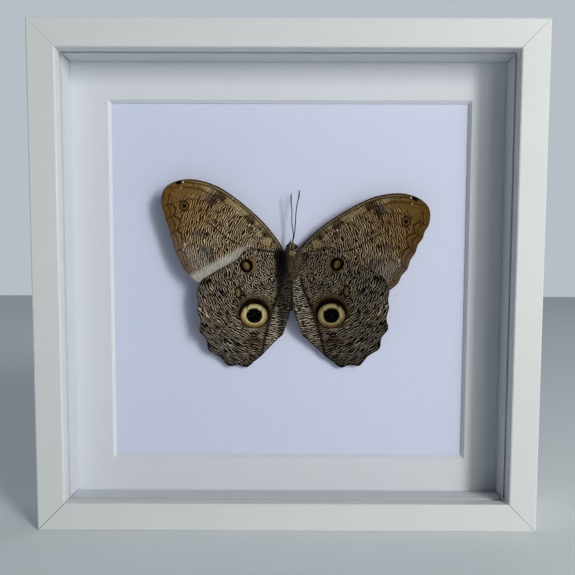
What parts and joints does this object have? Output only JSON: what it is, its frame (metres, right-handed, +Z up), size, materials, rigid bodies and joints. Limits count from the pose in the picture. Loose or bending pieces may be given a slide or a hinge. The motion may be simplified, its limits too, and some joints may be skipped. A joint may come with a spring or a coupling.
{
  "type": "framed butterfly specimen",
  "caption": "Spread owl butterfly pinned underside out on pale card, behind glass in a square white box frame with a white window mat.",
  "frame": {"origin": "middle of the frame's underside, where it stands", "axes": "+X to the right as the glass is faced, +Y through the glass to the back, +Z up"},
  "size_m": [0.25, 0.045, 0.25],
  "materials": {
    "white_frame": "satin white paint on smooth board moulding",
    "white_spacer": "matt white",
    "glass": "clear picture glass",
    "white_mat": "matt white board with a bevelled window",
    "backing_card": "matt pale blue-grey card",
    "foam_board": "matt white foam board",
    "hardboard": "plain brown hardboard",
    "steel": "zinc-plated",
    "wing_scales": "matt wing scales in brown, buff and black with yellow-ringed eyespots",
    "brown_fur": "soft brown hair",
    "dark_limb": "dark horny skin",
    "black_eye": "glossy black"
  },
  "bodies": {
    "root": {"rail_top": "white_frame", "rail_bottom": "white_frame", "rail_left": "white_frame", "rail_right": "white_frame", "spacer_top": "white_spacer", "spacer_bottom": "white_spacer", "spacer_left": "white_spacer", "spacer_right": "white_spacer", "glazing": "glass", "mat": "white_mat", "backing_card": "backing_card", "foam_board": "foam_board", "mount_block": "foam_board", "back_panel": "hardboard", "point_top_1": "steel", "point_top_2": "steel", "point_bottom_1": "steel", "point_bottom_2": "steel", "point_left_1": "steel", "point_left_2": "steel", "point_right_1": "steel", "point_right_2": "steel", "hanger": "steel", "forewing_left": "wing_scales", "forewing_right": "wing_scales", "hindwing_left": "wing_scales", "hindwing_right": "wing_scales", "thorax": "brown_fur", "head": "brown_fur", "abdomen": "brown_fur", "palp_left": "brown_fur", "palp_right": "brown_fur", "antenna_left": "dark_limb", "antenna_right": "dark_limb", "foreleg_left": "dark_limb", "foreleg_right": "dark_limb", "middle_leg_left": "dark_limb", "middle_leg_right": "dark_limb", "hind_leg_left": "dark_limb", "hind_leg_right": "dark_limb", "eye_left": "black_eye", "eye_right": "black_eye"}
  },
  "joints": []
}
